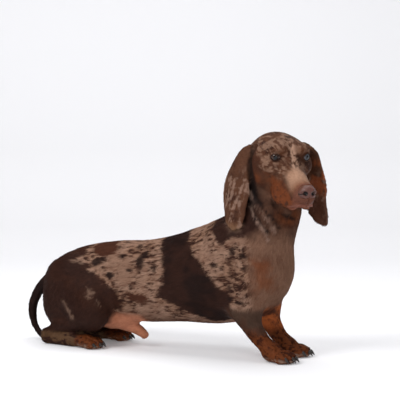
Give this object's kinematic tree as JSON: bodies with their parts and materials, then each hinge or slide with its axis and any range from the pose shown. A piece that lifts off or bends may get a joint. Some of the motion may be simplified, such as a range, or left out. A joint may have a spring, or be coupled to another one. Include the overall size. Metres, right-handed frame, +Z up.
{
  "type": "dachshund sitting low with its head turned",
  "caption": "Smooth-coated dachshund, life size: a long low dog resting on its folded hind legs with its fore body raised, head turned to its right, ears hanging.",
  "frame": {"origin": "on the floor, under the middle of the box round the whole dog", "axes": "+X towards the chest along the body, +Y to the dog's left, +Z up"},
  "size_m": [0.6002, 0.1874, 0.3739],
  "materials": {
    "coat": "short flat hair in dark chocolate with a dapple of grey beige",
    "tan": "short flat rust-tan hair",
    "nose": "moist liver-brown nose leather",
    "eye": "wet dark brown eye",
    "claw": "dark horn"
  },
  "bodies": {
    "root": {"eye_left": "eye", "eye_right": "eye", "nose": "nose", "head": "coat", "lower_jaw": "tan", "ear_left": "coat", "ear_right": "coat", "claw_front_left_1": "claw", "claw_front_left_2": "claw", "claw_front_left_3": "claw", "claw_front_left_4": "claw", "front_leg_left": "coat", "front_paw_left": "tan", "claw_front_right_1": "claw", "claw_front_right_2": "claw", "claw_front_right_3": "claw", "claw_front_right_4": "claw", "front_leg_right": "coat", "front_paw_right": "tan", "claw_hind_left_1": "claw", "claw_hind_left_2": "claw", "claw_hind_left_3": "claw", "claw_hind_left_4": "claw", "hind_foot_left": "tan", "claw_hind_right_1": "claw", "claw_hind_right_2": "claw", "claw_hind_right_3": "claw", "claw_hind_right_4": "claw", "hind_foot_right": "tan", "sheath": "tan", "tail_upper": "coat", "tail_lower": "coat", "neck": "coat", "torso": "coat", "hind_leg_left": "coat", "hind_leg_right": "coat"}
  },
  "joints": []
}
